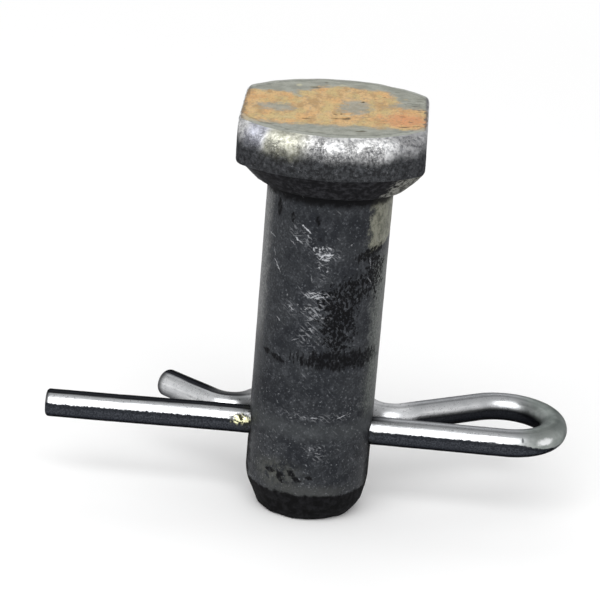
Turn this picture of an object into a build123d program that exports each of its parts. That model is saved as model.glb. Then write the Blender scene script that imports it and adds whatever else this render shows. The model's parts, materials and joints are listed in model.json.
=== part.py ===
"""Headed clevis pin with its spring clip, as used to hang a brake pedal.

The pin stands on its nose: +Z runs up its axis to the head, and the origin is the centre of
the nose's end face. +X runs along the clip's straight leg towards the loop, and the clip's
bent leg passes behind the shank, on its +Y side. All sizes are in millimetres.
"""

import os
from math import asin, atan2, cos, degrees, hypot, radians, sin

from build123d import *

# Pin: shank and nose
SHANK_DIAMETER = 12.7  # half an inch
SHANK_LENGTH = 35.4  # nose end to the collar's shoulder
NOSE_END_DIAMETER = 9.8  # flat end that the taper runs down to
NOSE_LENGTH = 3.4  # height of the taper
NOSE_EDGE_RADIUS = 0.4  # softened edge of the end face

# Pin: head
HEAD_DIAMETER = 24.4
HEAD_THICKNESS = 4.2
ACROSS_FLATS = 18.5  # the two flats face +X and -X, and cut the collar's wide end too
RIM_ROUND_HEIGHT = 2.0  # how far down the forged rounding of the rim's top reaches
RIM_ROUND_INSET = 1.1  # how far the rounding brings the top face's edge in
RIM_LOWER_RADIUS = 0.3
FLAT_CORNER_RADIUS = 0.6  # in plan, where a flat meets the rim
FLAT_EDGE_BREAK = 0.2  # broken edge along the top of each flat

# Pin: forged collar, a cone that flares from a turned shoulder up to the head
COLLAR_HEIGHT = 3.2
SHOULDER_WIDTH = 1.25  # how far the shoulder stands out from the shank
UNDERSIDE_RING = 1.3  # flat ring left between the collar's wide end and the rim
SHOULDER_EDGE_RADIUS = 0.3
SHOULDER_FILLET_RADIUS = 0.4  # root of the shoulder, all round the shank

# Clip and the hole that it goes through
WIRE_DIAMETER = 2.9
WIRE_END_RADIUS = 0.35  # the sheared ends are tumbled smooth
HOLE_HEIGHT = 8.65  # clip's plane above the nose end
HOLE_RADIAL_CLEARANCE = 0.2  # round the straight leg
HUG_CLEARANCE = 0.1  # between the bent leg and the back of the shank
STRAIGHT_LEG_TIP = 27.5  # tip of the straight leg to the pin's axis
LOOP_CENTRE_DISTANCE = 20.2  # pin's axis to the loop's centre
LOOP_RADIUS = 5.1  # of the wire's centre line
WAIST_RADIUS = 2.6  # centre line of the two reverse bends beside the shank
LOOP_SIDE_HUG_ANGLE = 39.8  # degrees above +X where the hug gives way to the waist
TIP_SIDE_HUG_ANGLE = 33.6  # the same, above -X
KICK_ANGLE = 39.5  # turn of the flared tip away from the straight leg
KICK_LENGTH = 7.1  # straight part of the flared tip

shank_radius = SHANK_DIAMETER / 2
head_radius = HEAD_DIAMETER / 2
shoulder_radius = shank_radius + SHOULDER_WIDTH
collar_top_radius = head_radius - UNDERSIDE_RING
head_underside = SHANK_LENGTH + COLLAR_HEIGHT
head_top = head_underside + HEAD_THICKNESS
wire_radius = WIRE_DIAMETER / 2
hole_radius = wire_radius + HOLE_RADIAL_CLEARANCE
hug_radius = shank_radius + HUG_CLEARANCE + wire_radius


def rim_round_radius():
    """Radius of an arc that leaves the rim upright and reaches the top face's edge."""
    return (RIM_ROUND_INSET**2 + RIM_ROUND_HEIGHT**2) / (2 * RIM_ROUND_INSET)


def turned_blank():
    """The pin before its flats and hole: half its outline, turned about the axis."""
    rim_round_start = head_top - RIM_ROUND_HEIGHT
    outline = [
        Line((0, 0), (NOSE_END_DIAMETER / 2, 0)),
        Line((NOSE_END_DIAMETER / 2, 0), (shank_radius, NOSE_LENGTH)),
        Line((shank_radius, NOSE_LENGTH), (shank_radius, SHANK_LENGTH)),
        Line((shank_radius, SHANK_LENGTH), (shoulder_radius, SHANK_LENGTH)),
        Line((shoulder_radius, SHANK_LENGTH), (collar_top_radius, head_underside)),
        Line((collar_top_radius, head_underside), (head_radius, head_underside)),
        Line((head_radius, head_underside), (head_radius, rim_round_start)),
        CenterArc(
            (head_radius - rim_round_radius(), rim_round_start),
            rim_round_radius(),
            0,
            degrees(asin(RIM_ROUND_HEIGHT / rim_round_radius())),
        ),
        Line((head_radius - RIM_ROUND_INSET, head_top), (0, head_top)),
        Line((0, head_top), (0, 0)),
    ]
    face = make_face(Plane.XZ * Wire(outline))
    return revolve(face, Axis.Z)


def head_outline():
    """The head seen from above: a disc with two flats, its four corners rounded."""
    outline = Circle(head_radius) & Rectangle(ACROSS_FLATS, 2 * HEAD_DIAMETER)
    return fillet(outline.vertices(), FLAT_CORNER_RADIUS)


def edges_at(shape, height, radius):
    """Circular edges of a shape at one height and radius."""
    circles = shape.edges().filter_by(GeomType.CIRCLE)
    return [
        edge
        for edge in circles
        if abs(edge.center(CenterOf.BOUNDING_BOX).Z - height) < 1e-6
        and abs(edge.radius - radius) < 1e-6
    ]


def clevis_pin():
    """One forged and turned piece: nose, shank, collar and a round head with two flats."""
    blank = turned_blank()
    blank = fillet(edges_at(blank, 0, NOSE_END_DIAMETER / 2), NOSE_EDGE_RADIUS)
    blank = fillet(edges_at(blank, SHANK_LENGTH, shank_radius), SHOULDER_FILLET_RADIUS)
    blank = fillet(edges_at(blank, SHANK_LENGTH, shoulder_radius), SHOULDER_EDGE_RADIUS)
    blank = fillet(edges_at(blank, head_underside, head_radius), RIM_LOWER_RADIUS)
    pin = blank & extrude(head_outline(), head_top)
    top_edges = [
        edge
        for edge in pin.edges().filter_by(GeomType.LINE).filter_by(Axis.Y)
        if abs(edge.center().Z - head_top) < 1e-6
    ]
    pin = chamfer(top_edges, FLAT_EDGE_BREAK)
    drill = Rot(Y=90) * Cylinder(hole_radius, 2 * SHANK_DIAMETER)
    return pin - Pos(Z=HOLE_HEIGHT) * drill


def waist_centre(side, hug_angle):
    """Centre of a reverse bend, which touches the hug arc where that arc ends."""
    reach = hug_radius + WAIST_RADIUS
    return side * reach * cos(radians(hug_angle)), reach * sin(radians(hug_angle))


def rise_angle():
    """Slope, in degrees, of the wire that crosses from the waist to the far side of the loop."""
    x, y = waist_centre(1, LOOP_SIDE_HUG_ANGLE)
    across, down = LOOP_CENTRE_DISTANCE - x, LOOP_RADIUS - y
    crossing = asin((WAIST_RADIUS + LOOP_RADIUS) / hypot(across, down))
    return degrees(crossing + atan2(down, across))


def on_circle(centre, radius, angle):
    """The point of a circle at an angle in degrees from +X."""
    x, y = centre
    return x + radius * cos(radians(angle)), y + radius * sin(radians(angle))


def clip_centre_line():
    """Straight leg, loop, rising wire, waist, hug round the shank, waist and flared tip."""
    slope = rise_angle()
    loop = (LOOP_CENTRE_DISTANCE, LOOP_RADIUS)
    near_waist = waist_centre(1, LOOP_SIDE_HUG_ANGLE)
    far_waist = waist_centre(-1, TIP_SIDE_HUG_ANGLE)
    loop_end = on_circle(loop, LOOP_RADIUS, 90 + slope)
    near_waist_start = on_circle(near_waist, WAIST_RADIUS, slope - 90)
    far_waist_end = on_circle(far_waist, WAIST_RADIUS, -90 - KICK_ANGLE)
    kick = (-cos(radians(KICK_ANGLE)), sin(radians(KICK_ANGLE)))
    tip = (
        far_waist_end[0] + KICK_LENGTH * kick[0],
        far_waist_end[1] + KICK_LENGTH * kick[1],
    )
    hug_sweep = 180 - LOOP_SIDE_HUG_ANGLE - TIP_SIDE_HUG_ANGLE
    pieces = [
        Line((-STRAIGHT_LEG_TIP, 0), (LOOP_CENTRE_DISTANCE, 0)),
        CenterArc(loop, LOOP_RADIUS, -90, 180 + slope),
        Line(loop_end, near_waist_start),
        CenterArc(near_waist, WAIST_RADIUS, slope - 90, LOOP_SIDE_HUG_ANGLE - slope - 90),
        CenterArc((0, 0), hug_radius, LOOP_SIDE_HUG_ANGLE, hug_sweep),
        CenterArc(far_waist, WAIST_RADIUS, -TIP_SIDE_HUG_ANGLE, TIP_SIDE_HUG_ANGLE - 90 - KICK_ANGLE),
        Line(far_waist_end, tip),
    ]
    return Wire(pieces)


def spring_clip():
    """One length of round spring wire, bent flat, with its straight leg in the cross hole."""
    path = clip_centre_line()
    start = Plane(origin=path @ 0, z_dir=path % 0)
    clip = sweep(start * Circle(wire_radius), path=path)
    ends = [face.edges() for face in clip.faces().filter_by(GeomType.PLANE)]
    clip = fillet([edge for group in ends for edge in group], WIRE_END_RADIUS)
    return Pos(Z=HOLE_HEIGHT) * clip


def main():
    os.makedirs("parts", exist_ok=True)
    for name, piece in (("clevis_pin", clevis_pin()), ("spring_clip", spring_clip())):
        piece.label = name
        export_step(piece, os.path.join("parts", name + ".step"))
        size = piece.bounding_box().size
        print(f"{name}: {piece.volume:.1f} mm3, {size.X:.2f} x {size.Y:.2f} x {size.Z:.2f} mm")
    print(f"wire rises to the loop at {rise_angle():.1f} degrees")


main()
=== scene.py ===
# %% [markdown]
# # A headed clevis pin and its spring clip
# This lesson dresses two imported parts: a forged steel pin that a brake pedal hangs on, and
# the bent wire that keeps it from sliding out. Both are old stock from a tray: dark, scuffed,
# lightly rusted on the head and greasy where the wire goes in.
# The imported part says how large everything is, so the first cell only loads it and keeps its box.

import json
import math

import bpy
import numpy as np
from mathutils import Matrix, Vector


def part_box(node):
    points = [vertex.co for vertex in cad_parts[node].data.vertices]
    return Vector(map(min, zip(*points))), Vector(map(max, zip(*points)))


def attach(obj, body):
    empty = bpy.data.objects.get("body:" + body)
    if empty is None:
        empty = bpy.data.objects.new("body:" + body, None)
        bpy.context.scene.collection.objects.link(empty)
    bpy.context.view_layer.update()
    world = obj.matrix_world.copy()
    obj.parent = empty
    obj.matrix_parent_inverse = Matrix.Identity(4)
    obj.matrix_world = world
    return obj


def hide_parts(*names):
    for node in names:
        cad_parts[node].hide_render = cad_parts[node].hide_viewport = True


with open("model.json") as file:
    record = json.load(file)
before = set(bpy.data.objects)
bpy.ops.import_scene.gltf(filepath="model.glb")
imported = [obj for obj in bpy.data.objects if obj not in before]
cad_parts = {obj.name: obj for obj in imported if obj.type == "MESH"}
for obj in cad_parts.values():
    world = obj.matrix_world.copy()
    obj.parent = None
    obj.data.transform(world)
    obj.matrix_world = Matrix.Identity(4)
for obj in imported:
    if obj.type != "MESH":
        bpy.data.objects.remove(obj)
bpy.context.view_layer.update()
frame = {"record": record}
MM = 0.001

# %% [markdown]
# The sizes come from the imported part: the head from the pin's box, the shank from its mount,
# the wire from the clip's box. What the boxes can't tell, such as the bend radii, is repeated
# here as named values. All of them are in millimetres, and only a finished mesh is in metres.

# %% Sizes taken from the part
_, pin_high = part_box("clevis_pin")
clip_low, clip_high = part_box("spring_clip")
mounts = {mount["name"]: mount for mount in frame["record"]["mounts"]}

SHANK_RADIUS = mounts["shank"]["dims"]["r_mm"]
SHOULDER = mounts["collar_shoulder"]["pos_m"][2] / MM
HEAD_TOP = pin_high.z / MM
HEAD_THICKNESS = 4.2
UNDERSIDE = HEAD_TOP - HEAD_THICKNESS
HEAD_RADIUS = pin_high.y / MM
HALF_FLATS = pin_high.x / MM
WIRE_RADIUS = (clip_high.z - clip_low.z) / 2 / MM
HOLE_HEIGHT = (clip_high.z + clip_low.z) / 2 / MM
LEG_TIP = clip_low.x / MM
LOOP_END = clip_high.x / MM
print(f"shank {2 * SHANK_RADIUS:.2f}, wire {2 * WIRE_RADIUS:.2f}, hole at {HOLE_HEIGHT:.2f} mm")

# %% [markdown]
# The camera comes first, because every later choice is judged through it. It stands in front
# of the pin, a little to the right, and looks down by about twenty degrees from arm's length
# with a long lens. A small roll leans the pin to the left.

# %% Camera
AIM = (-2.13, 0.0, 22.17)  # mm, the point in the middle of the picture
CAMERA_AZIMUTH = 1.7  # degrees from straight in front, towards +X
CAMERA_ELEVATION = 19.6
CAMERA_ROLL = 4.7
CAMERA_DISTANCE = 284.0  # mm
FOCAL_LENGTH, SENSOR_WIDTH = 167.4, 36.0  # mm
CLIP_RANGE = (0.01, 20.0)  # m


def add_object(name, data):
    """A new object at the origin, shown in the scene."""
    thing = bpy.data.objects.new(name, data)
    bpy.context.scene.collection.objects.link(thing)
    return thing


def aimed_camera(aim, azimuth, elevation, roll, distance, focal_length):
    """A camera on a sphere round its aim, turned about its own line of sight by the roll."""
    a, e = math.radians(azimuth), math.radians(elevation)
    back = Vector((math.sin(a) * math.cos(e), -math.cos(a) * math.cos(e), math.sin(e)))
    data = bpy.data.cameras.new("camera")
    data.lens, data.sensor_width = focal_length, SENSOR_WIDTH
    data.clip_start, data.clip_end = CLIP_RANGE
    camera = add_object("camera", data)
    level = (-back).to_track_quat("-Z", "Y").to_matrix()
    turned = (level @ Matrix.Rotation(math.radians(roll), 3, "Z")).to_4x4()
    camera.matrix_world = Matrix.Translation((Vector(aim) + back * distance) * MM) @ turned
    return camera


bpy.context.scene.camera = aimed_camera(
    AIM, CAMERA_AZIMUTH, CAMERA_ELEVATION, CAMERA_ROLL, CAMERA_DISTANCE, FOCAL_LENGTH
)
print("camera at", [round(x / MM, 1) for x in bpy.context.scene.camera.location], "mm")

# %% [markdown]
# Both pieces are built the same way: rings of points, joined by faces. Where a ring has twice
# the points of its neighbour, each point of the coarse ring gets three triangles. This spends
# points where detail is, on the head's rim, and saves them near a pole.

# %% Rings into faces


def between_rings(upper, lower):
    """Faces from one closed ring of point numbers to the next ring, on the way down or inwards.

    Equal rings give quads. If one ring has twice the points, each coarse point is joined to
    three fine ones. Seen from outside, points run anticlockwise, and so do the faces."""
    if len(upper) == len(lower):
        return [np.stack([upper, lower, np.roll(lower, -1), np.roll(upper, -1)], axis=1)]
    if len(upper) > len(lower):
        even, odd = upper[0::2], upper[1::2]
        return [
            np.stack([even, lower, odd], axis=1),
            np.stack([odd, lower, np.roll(lower, -1)], axis=1),
            np.stack([odd, np.roll(lower, -1), np.roll(even, -1)], axis=1),
        ]
    even, odd = lower[0::2], lower[1::2]
    return [
        np.stack([upper, even, odd], axis=1),
        np.stack([upper, odd, np.roll(upper, -1)], axis=1),
        np.stack([np.roll(upper, -1), odd, np.roll(even, -1)], axis=1),
    ]


def fan(pole, ring, pole_first):
    """Triangles from one point to a closed ring below it (pole_first) or above it."""
    here, there = (ring, np.roll(ring, -1)) if pole_first else (np.roll(ring, -1), ring)
    return [np.stack([np.full(len(ring), pole), here, there], axis=1)]


def skin(rings, top, bottom):
    """Points and faces of a closed surface: a top pole, rings of points, and a bottom pole."""
    points = [np.array([top]), *rings, np.array([bottom])]
    starts = np.cumsum([0] + [len(p) for p in points])
    index = [np.arange(a, b) for a, b in zip(starts[:-1], starts[1:])]
    faces = fan(0, index[1], True)
    for upper, lower in zip(index[1:-2], index[2:-1]):
        faces += between_rings(upper, lower)
    faces += fan(starts[-2], index[-2], False)
    return np.concatenate(points), faces, index[1:-1]


# %% Surfaces into meshes


def point_normals(points, faces):
    """The unit sum of the normals of the faces round each point."""
    total = np.zeros_like(points)
    for f in faces:
        a, b, c, d = (points[f[:, k]] for k in (0, 1, 2, -1))
        across = np.cross(b - a, c - a) if f.shape[1] == 3 else np.cross(c - a, d - b)
        for corner in range(f.shape[1]):
            np.add.at(total, f[:, corner], across)
    return total / np.maximum(np.linalg.norm(total, axis=1, keepdims=True), 1e-12)


def drop_unused(points, faces):
    """The same surface without points that no face uses."""
    used = np.unique(np.concatenate([f.ravel() for f in faces]))
    fresh = np.full(len(points), -1)
    fresh[used] = np.arange(len(used))
    return points[used], [fresh[f] for f in faces]


def mesh_object(name, points, faces):
    """A smooth-shaded mesh object at the origin, from points in mm."""
    corners = np.concatenate([f.ravel() for f in faces])
    sizes = np.concatenate([np.full(len(f), f.shape[1]) for f in faces])
    starts = np.concatenate([[0], np.cumsum(sizes)[:-1]])
    mesh = bpy.data.meshes.new(name)
    mesh.vertices.add(len(points))
    mesh.vertices.foreach_set("co", (points * MM).astype(np.float32).ravel())
    mesh.loops.add(len(corners))
    mesh.loops.foreach_set("vertex_index", corners.astype(np.int32))
    mesh.polygons.add(len(starts))
    mesh.polygons.foreach_set("loop_start", starts.astype(np.int32))
    mesh.update(calc_edges=True)
    mesh.validate()
    mesh.polygons.foreach_set("use_smooth", np.ones(len(starts), bool))
    print(f"{name}: {len(points)} points, {(sizes - 2).sum()} triangles")
    return add_object(name, mesh)


# %% [markdown]
# No forging is smooth. Its lumps, peel and pits are real shape, so they move the points along
# their normals, by hundredths of a millimetre. The amounts come from lattice noise, which gives
# each corner of a cubic grid a random number and eases between them. It reads a point's place
# in space, so it has no seam.

# %% Lattice noise


def hashed(cell, seed):
    """A repeatable random number from -1 to 1 for each whole-numbered cell."""
    mixed = cell[..., 0] * 73856093 ^ cell[..., 1] * 19349663 ^ cell[..., 2] * 83492791
    mixed = (mixed ^ (seed * 7919 + 12345)) & 0x7FFFFFFF
    mixed = (mixed ^ (mixed >> 15)) * 48271 & 0x7FFFFFFF
    mixed = (mixed ^ (mixed >> 11)) * 69621 & 0x7FFFFFFF
    return (mixed & 0xFFFFF) / 0x7FFFF - 1


def noise(points, size, seed):
    """Noise from -1 to 1 with lumps about as wide as size: corner values, eased in between."""
    place = points / size + 100
    cell = np.floor(place).astype(np.int64)
    t = place - cell
    eased = t * t * t * (t * (t * 6 - 15) + 10)
    total = np.zeros(points.shape[:-1])
    for corner in np.ndindex(2, 2, 2):
        weight = np.where(np.array(corner) == 1, eased, 1 - eased).prod(axis=-1)
        total += hashed(cell + np.array(corner), seed) * weight
    return total


def rough(points, size, seed, layers=3):
    """Noise with finer and weaker noise on top, each layer half the size and height."""
    return sum(noise(points, size / 2**k, seed + k) / 2**k for k in range(layers))


def creases(points, size, seed):
    """0 on flat ground and down to -1 along thin winding lines, where noise changes sign."""
    return -np.exp(-((noise(points, size, seed) / 0.16) ** 2))


def ramp(x, start, end):
    """0 before start, 1 after end, and a smooth S between them."""
    t = np.clip((x - start) / (end - start), 0, 1)
    return t * t * (3 - 2 * t)


def heading(angle):
    """The unit vector at an angle in degrees."""
    return np.array([math.cos(math.radians(angle)), math.sin(math.radians(angle))])


# %% [markdown]
# **The head** is a forged disc on a cone, and two flats cut both. A top, a curved rim and an
# underside enclose the disc, and the cone ends at a turned shoulder. A rounded maximum of
# the distances to such faces is a distance to the part that they enclose, with eased edges, and
# the smaller of two such distances joins the parts. From a point inside, a ray in each direction
# is halved until it lands on that form, for the whole grid of directions at once. This gives
# clean edges at any angle with no cutting.

# %% Head form
RIM_ROUND_HEIGHT = 2.0  # the forged rounding at the top of the rim
RIM_ROUND_INSET = 1.1
RIM_ROUND = (RIM_ROUND_INSET**2 + RIM_ROUND_HEIGHT**2) / (2 * RIM_ROUND_INSET)
CORNER_EASE = 0.6  # upright edges beside the flats
TOP_EASE = 0.28
UNDER_EASE = 0.3
SHOULDER_EASE = 0.3
CONE_EASE = 0.25  # where the flats cut the cone
CONE_OVERLAP = 0.8  # how far the cone reaches up into the disc
SHOULDER_RADIUS = SHANK_RADIUS + 1.25
COLLAR_RADIUS = HEAD_RADIUS - 1.3  # the cone's wide end
COLLAR_FLARE = math.atan2(COLLAR_RADIUS - SHOULDER_RADIUS, UNDERSIDE - SHOULDER)
HEAD_HEART = np.array([0.0, 0.0, UNDERSIDE + 1.7])


def eased_maximum(a, b, radius):
    """The larger of two distances, with the corner between them rounded to a radius."""
    outside = np.hypot(np.maximum(a + radius, 0), np.maximum(b + radius, 0))
    return np.minimum(np.maximum(a, b), -radius) + outside


def head_distance(points):
    """Distance to the surface of the head and its collar, below 0 inside it."""
    x, y, z = points[..., 0], points[..., 1], points[..., 2]
    radius = np.hypot(x, y)
    above = np.maximum(z - (HEAD_TOP - RIM_ROUND_HEIGHT), 0)
    rim = np.hypot(np.maximum(radius - (HEAD_RADIUS - RIM_ROUND), 0), above) - RIM_ROUND
    rim = np.where(radius > HEAD_RADIUS - RIM_ROUND, rim, -RIM_ROUND)
    flats = np.abs(x) - HALF_FLATS
    disc = eased_maximum(rim, flats, CORNER_EASE)
    disc = eased_maximum(disc, z - HEAD_TOP, TOP_EASE)
    disc = eased_maximum(disc, UNDERSIDE - z, UNDER_EASE)
    cone = radius - SHOULDER_RADIUS - (z - SHOULDER) * math.tan(COLLAR_FLARE)
    cone = eased_maximum(cone * math.cos(COLLAR_FLARE), SHOULDER - z, SHOULDER_EASE)
    cone = np.maximum(cone, z - UNDERSIDE - CONE_OVERLAP)
    return np.minimum(disc, eased_maximum(cone, flats, CONE_EASE))


def shoot(directions, reach=16.0, halvings=32):
    """Where rays from the heart of the head meet its surface, by halving the way left."""
    near, far = np.zeros(directions.shape[:-1]), np.full(directions.shape[:-1], reach)
    for _ in range(halvings):
        middle = (near + far) / 2
        inside = head_distance(HEAD_HEART + directions * middle[..., None]) < 0
        near, far = np.where(inside, middle, near), np.where(inside, far, middle)
    return HEAD_HEART + directions * near[..., None]


def head_ring(columns, slopes):
    """Rings of points on the head, one for each slope, in degrees above level."""
    turn = np.arange(columns) * 2 * np.pi / columns
    rise = np.radians(slopes)[:, None]
    x, y = np.cos(rise) * np.cos(turn), np.cos(rise) * np.sin(turn)
    return list(shoot(np.stack([x, y, np.broadcast_to(np.sin(rise), x.shape)], axis=-1)))


# %% [markdown]
# Equal steps of slope would crowd the rings at the middle of the top and starve the rim. So the
# section through the round side is walked from the pole to the shoulder, its length is summed,
# and slopes are picked where the wanted steps fall. A band of rings has a column count of its
# own, twice the count of the band inside it.

# %% Head rings
ROOT_RADIUS = SHANK_RADIUS + 0.8  # where the head's rays stop, on the flat of the shoulder
PIN_COLUMNS = 256
RIM_COLUMNS = 2 * PIN_COLUMNS


def walk(line):
    """How far along a polyline each of its points lies."""
    return np.concatenate([[0], np.cumsum(np.linalg.norm(np.diff(line, axis=0), axis=1))])


def slopes_at(lengths):
    """Slopes at which the round side's section has these lengths, in mm from the top's centre."""
    slopes = np.linspace(90, -40, 8001)
    rise = np.radians(slopes)
    section = shoot(np.stack([0 * rise, np.cos(rise), np.sin(rise)], axis=-1))
    walked = walk(section)
    end = walked[np.argmax((section[:, 1] < ROOT_RADIUS) & (section[:, 2] < UNDERSIDE))]
    return np.interp(np.minimum(lengths, end), walked, slopes), end


def head_rings():
    """All rings from the middle of the top face, over the rim and the collar, to the shoulder."""
    _, end = slopes_at(np.zeros(1))
    top_edge = HEAD_RADIUS - RIM_ROUND_INSET
    bands = [
        (PIN_COLUMNS // 4, np.arange(0.14, 1.4, 0.14)),
        (PIN_COLUMNS // 2, np.arange(1.5, 2.8, 0.14)),
        (PIN_COLUMNS, np.arange(2.9, 5.6, 0.15)),
        (RIM_COLUMNS, np.arange(5.7, top_edge - 0.8, 0.21)),
        (RIM_COLUMNS, np.arange(top_edge - 0.8, top_edge + 4.9, 0.125)),
        (RIM_COLUMNS, np.linspace(top_edge + 5.0, end - 0.75, 19)),
        (RIM_COLUMNS, np.linspace(end - 0.6, end, 5)),
    ]
    rings = []
    for columns, lengths in bands:
        rings += head_ring(columns, slopes_at(lengths)[0])
    return rings


# %% [markdown]
# **Shoulder, shank and nose** are plain turned work: a half outline, carried round the axis. The
# outline is a few corners, each rounded by an arc that touches both of its sides.

# %% Turned outline
NOSE_END_RADIUS = 4.9
NOSE_LENGTH = 3.4
TURNED_CORNERS = [  # radius, height, rounding
    (ROOT_RADIUS, SHOULDER, 0.0),
    (SHANK_RADIUS, SHOULDER, 0.35),
    (SHANK_RADIUS, NOSE_LENGTH, 3.4),
    (NOSE_END_RADIUS, 0.0, 0.7),
    (0.0, 0.0, 0.0),
]


def rounded_outline(corners):
    """Fine points along straight sides and the arcs that round the corners between them."""
    line = [np.array(corners[0][:2])]
    for before, here, after in zip(corners[:-2], corners[1:-1], corners[2:]):
        corner, radius = np.array(here[:2]), here[2]
        back = np.array(before[:2]) - corner
        on = np.array(after[:2]) - corner
        back, on = back / np.linalg.norm(back), on / np.linalg.norm(on)
        half = math.acos(float(np.clip(back @ on, -1, 1))) / 2
        middle = corner + (back + on) / np.linalg.norm(back + on) * radius / math.sin(half)
        start, stop = (corner + side * radius / math.tan(half) for side in (back, on))
        share = np.linspace(0, 1, 24)[:, None]
        chord = start * (1 - share) + stop * share - middle
        line += list(middle + chord / np.linalg.norm(chord, axis=1, keepdims=True) * radius)
    line.append(np.array(corners[-1][:2]))
    return np.array(line)


def along(walked, values, lengths):
    """Values kept at the points of a polyline, read at given lengths from its start."""
    return np.stack([np.interp(lengths, walked, values[:, k]) for k in range(2)], axis=1)


def circle_rings(columns, outline):
    """One ring of points for each radius and height of an outline."""
    turn = np.arange(columns) * 2 * np.pi / columns
    radius, height = outline[:, :1], outline[:, 1:]
    x, y = radius * np.cos(turn), radius * np.sin(turn)
    return list(np.stack([x, y, np.broadcast_to(height, x.shape)], axis=-1))


# %% [markdown]
# **The cross hole** is drilled in the grid itself. Beside the drill the rings are as far apart as
# the columns, so a square patch of the grid is nearly square on the steel. The patch is taken
# out, and rings that turn a square into a circle take its place. The last circle on each side
# goes on down the bore to meet the other, so the surface stays closed, with one tunnel.

# %% Shank rings and the square patch
HOLE_RADIUS = WIRE_RADIUS + 0.2  # with the hole's clearance
PATCH_HALF = 14  # columns and rows from the hole's centre to the side of the patch
HOLE_EASE = 0.12  # broken edge of the hole
PATCH_STEP = 2 * np.pi * SHANK_RADIUS / PIN_COLUMNS


def turned_rings():
    """Rings from below the head to the middle of the nose's end, and the patch's first row."""
    line = rounded_outline(TURNED_CORNERS)
    walked = walk(line)
    whole = walked[-1]
    nose, centre = np.interp([-NOSE_LENGTH, -HOLE_HEIGHT], -line[:, 1], walked)
    patch_top, patch_end = centre - PATCH_HALF * PATCH_STEP, centre + PATCH_HALF * PATCH_STEP
    above = np.concatenate([np.arange(0.14, 2, 0.14), np.linspace(2.1, patch_top, 72)[:-1]])
    patch = np.linspace(patch_top, patch_end, 2 * PATCH_HALF + 1)
    below = [np.linspace(patch_end, nose, 14)[1:], np.arange(nose + 0.2, whole - 2.4, 0.19)]
    bands = [
        (PIN_COLUMNS, np.concatenate([above, patch, *below])),
        (PIN_COLUMNS // 2, np.arange(whole - 2.3, whole - 1.2, 0.15)),
        (PIN_COLUMNS // 4, np.arange(whole - 1.1, whole - 0.1, 0.16)),
    ]
    rings = []
    for columns, lengths in bands:
        rings += circle_rings(columns, along(walked, line, lengths))
    return rings, len(above)


# %% Drill the cross hole


def patch_border(rows, columns):
    """Point numbers round a block of the grid, anticlockwise from outside, and the block."""
    block = rows[:, columns]
    up = block[::-1]  # lowest row first
    return np.concatenate([up[0, :-1], up[:-1, -1], up[-1, :0:-1], up[:0:-1, 0]]), block


def mouth(points, border, side):
    """Rings from the square border to the hole's circle. side is +1 at +X and -1 at -X."""
    across = side * points[border, 1]
    up = points[border, 2] - HOLE_HEIGHT
    angle = np.arctan2(up, across)
    edge = HOLE_RADIUS + HOLE_EASE
    rings = []
    for share in (0.3, 0.62, 1.0):
        a = across * (1 - share) + edge * np.cos(angle) * share
        b = up * (1 - share) + edge * np.sin(angle) * share
        x = side * np.sqrt(SHANK_RADIUS**2 - a**2)
        rings.append(np.stack([x, side * a, HOLE_HEIGHT + b], axis=1))
    return rings, angle


def bore(angle, steps=26):
    """Rings of the hole's wall from +X to -X, with its ends set in by the broken edge."""
    y, z = HOLE_RADIUS * np.cos(angle), HOLE_HEIGHT + HOLE_RADIUS * np.sin(angle)
    reach = np.sqrt(SHANK_RADIUS**2 - y**2) - HOLE_EASE
    return [np.stack([reach * s, y, z], axis=1) for s in np.linspace(1, -1, steps)]


def drill(points, faces, grid, first_row):
    """Swaps two square patches of the shank for the hole's mouths and joins them with the bore."""
    rows = np.array(grid[first_row : first_row + 2 * PATCH_HALF + 1])
    span = np.arange(-PATCH_HALF, PATCH_HALF + 1)
    borders, inside = [], np.zeros(len(points), bool)
    for middle in (0, PIN_COLUMNS // 2):
        border, block = patch_border(rows, (span + middle) % PIN_COLUMNS)
        borders.append(border)
        inside[block[1:-1, 1:-1]] = True
    faces = [f[~inside[f].any(axis=1)] for f in faces]
    near, angle = mouth(points, borders[0], 1)
    far, far_angle = mouth(points, borders[1], -1)
    gap = np.angle(np.exp(1j * (far_angle[None, :] - (np.pi - angle[:, None]))))
    partner = np.argmin(np.abs(gap), axis=1)
    rings = near + bore(angle) + [ring[partner] for ring in far[::-1]]
    count, total = len(border), len(points)
    index = [borders[0]] + [total + k * count + np.arange(count) for k in range(len(rings))]
    index.append(borders[1][partner])
    for outer, inner in zip(index[:-1], index[1:]):
        faces.append(np.stack([outer, np.roll(outer, -1), np.roll(inner, -1), inner], axis=1))
    return np.concatenate([points, *rings]), faces


# %% [markdown]
# **Forging marks.** Each zone of the pin gets relief of its own: peel and winding creases on the
# rim, pits and drag marks on the top face, a lumpy nose, and next to nothing on the ground
# shank. The head was also struck a little out of square, by about a degree.

# %% Relief of the pin
RELIEF_UNIT = 0.1  # mm of relief that the materials read as 1
HEAD_TILT = (-1.2, -0.3)  # degrees about Y and about X
TILT_START, TILT_END = SHOULDER + 0.6, UNDERSIDE
TOP_PITS = [  # x, y, length, width, depth in mm
    (0.9, -4.1, 0.9, 0.6, 0.12), (0.1, -4.2, 0.7, 0.4, 0.07), (-2.8, -5.0, 0.9, 0.4, 0.08),
    (-2.5, 7.2, 1.0, 0.8, 0.14), (-6.1, -2.0, 0.6, 0.4, 0.06), (2.5, 2.5, 0.4, 0.5, 0.12),
    (6.7, -5.7, 0.9, 0.5, 0.08), (7.9, -5.2, 0.8, 0.4, 0.08), (4.7, -4.0, 1.0, 0.4, 0.07),
    (2.7, -8.3, 1.0, 0.5, 0.09), (-1.7, -9.9, 1.1, 0.4, 0.07), (4.6, 5.0, 0.4, 0.5, 0.07),
]


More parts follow.
